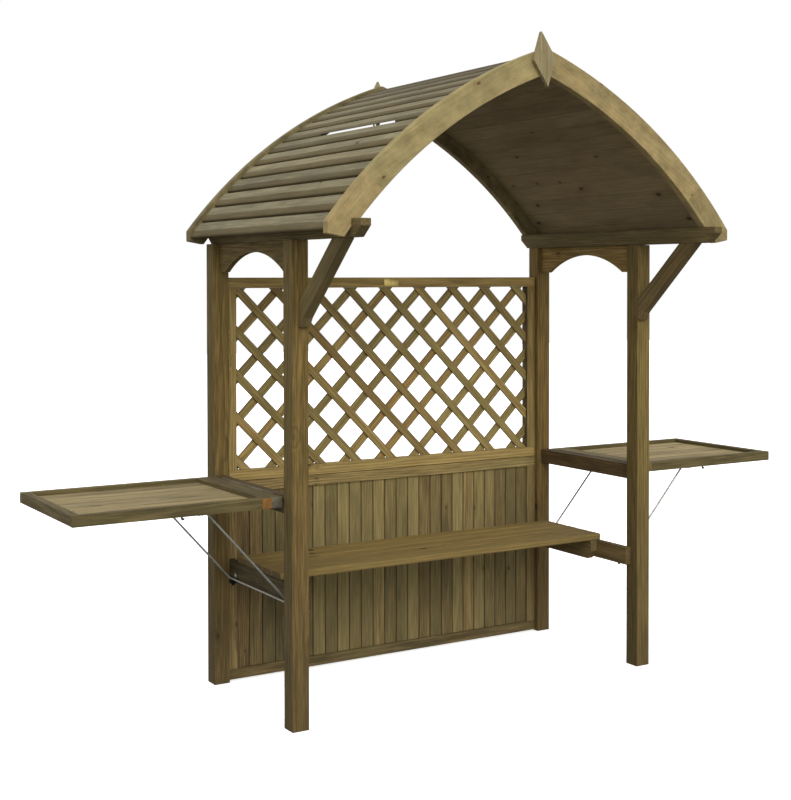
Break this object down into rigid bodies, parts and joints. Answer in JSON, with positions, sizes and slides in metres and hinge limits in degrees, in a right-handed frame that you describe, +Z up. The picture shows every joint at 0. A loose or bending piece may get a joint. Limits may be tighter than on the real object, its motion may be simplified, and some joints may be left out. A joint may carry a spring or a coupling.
{
  "type": "arbour seat",
  "caption": "Timber garden arbour seat with a pointed arched roof, trellis back and a fold-up slatted table at each side.",
  "frame": {"origin": "on the ground under the middle of the whole, 165 mm in front of the middle of the four posts", "axes": "+X across the seat, to the right in the picture; +Y from the front to the back; +Z up"},
  "size_m": [2.872, 1.128, 2.231],
  "materials": {
    "post_timber": "pressure-treated softwood, planed, weathered olive brown",
    "seat_timber": "pressure-treated softwood, planed, weathered olive brown",
    "panel_timber": "pressure-treated softwood matchboard, olive green to brown",
    "trellis_timber": "pressure-treated softwood laths, olive brown",
    "barge_timber": "pressure-treated softwood, lighter yellow tan with knots",
    "roof_timber": "pressure-treated softwood boards, greyed, with darker lower edges",
    "finial_timber": "pressure-treated softwood, pale grey tan",
    "rail_timber": "pressure-treated softwood in shade, dark brown",
    "table_timber": "pressure-treated softwood, planed, weathered",
    "zinc_steel": "galvanised steel, dull bright zinc",
    "black_steel": "black coated steel",
    "plain_brass": "bare brass plate, slightly dulled"
  },
  "bodies": {
    "frame": {"post_front_left": "post_timber", "bargeboard_front_left": "barge_timber", "post_front_right": "post_timber", "bargeboard_front_right": "barge_timber", "finial_front": "finial_timber", "post_back_left": "post_timber", "bargeboard_back_left": "barge_timber", "post_back_right": "post_timber", "bargeboard_back_right": "barge_timber", "finial_back": "finial_timber", "roof_beam_left": "rail_timber", "knee_brace_left": "rail_timber", "arched_rail_left": "rail_timber", "cross_rail_left": "rail_timber", "seat_rail_left": "rail_timber", "seat_bearer_left": "rail_timber", "roof_boards_left": "roof_timber", "back_panel_stile_left": "panel_timber", "trellis_stile_left": "trellis_timber", "hinge_fixed_leaf_left": "zinc_steel", "roof_beam_right": "rail_timber", "knee_brace_right": "rail_timber", "arched_rail_right": "rail_timber", "cross_rail_right": "rail_timber", "seat_rail_right": "rail_timber", "seat_bearer_right": "rail_timber", "roof_boards_right": "roof_timber", "back_panel_stile_right": "panel_timber", "trellis_stile_right": "trellis_timber", "hinge_fixed_leaf_right": "zinc_steel", "back_panel_top_rail": "panel_timber", "back_panel_bottom_rail": "panel_timber", "back_panel_boards": "panel_timber", "trellis_top_rail": "trellis_timber", "trellis_bottom_rail": "trellis_timber", "trellis_lattice": "trellis_timber", "trellis_plaque": "plain_brass", "seat_slat_1": "seat_timber", "seat_slat_2": "seat_timber", "seat_slat_3": "seat_timber", "seat_slat_4": "seat_timber", "seat_slat_5": "seat_timber"},
    "table_left": {"table_inner_member_left": "table_timber", "table_front_rail_left": "table_timber", "table_back_rail_left": "table_timber", "table_outer_rail_left": "table_timber", "table_deck_left": "table_timber", "table_end_plate_left": "zinc_steel", "hinge_moving_leaf_left": "zinc_steel", "table_hook_left": "black_steel"},
    "table_right": {"table_inner_member_right": "table_timber", "table_front_rail_right": "table_timber", "table_back_rail_right": "table_timber", "table_outer_rail_right": "table_timber", "table_deck_right": "table_timber", "table_end_plate_right": "zinc_steel", "hinge_moving_leaf_right": "zinc_steel", "table_hook_right": "black_steel"},
    "stay_left": {"table_stay_left": "zinc_steel"},
    "stay_right": {"table_stay_right": "zinc_steel"}
  },
  "joints": [
    {"name": "table_fold_left", "type": "hinge", "parent": "frame", "child": "table_left", "pos_m": [-0.7435, 0.165, 0.7455], "axis": [0, 1, 0], "range_deg": [0, 90]},
    {"name": "stay_swing_left", "type": "hinge", "parent": "table_left", "child": "stay_left", "pos_m": [-1.0035, 0.165, 0.718], "axis": [0, -1, 0], "range_deg": [0, 42]},
    {"name": "table_fold_right", "type": "hinge", "parent": "frame", "child": "table_right", "pos_m": [0.7435, 0.165, 0.7455], "axis": [0, -1, 0], "range_deg": [0, 90]},
    {"name": "stay_swing_right", "type": "hinge", "parent": "table_right", "child": "stay_right", "pos_m": [1.0035, 0.165, 0.718], "axis": [0, 1, 0], "range_deg": [0, 42]}
  ],
  "couplings": [
    {"joint": "stay_swing_left", "follows": "table_fold_left", "ratio": 0.4666},
    {"joint": "stay_swing_right", "follows": "table_fold_right", "ratio": 0.4666}
  ]
}
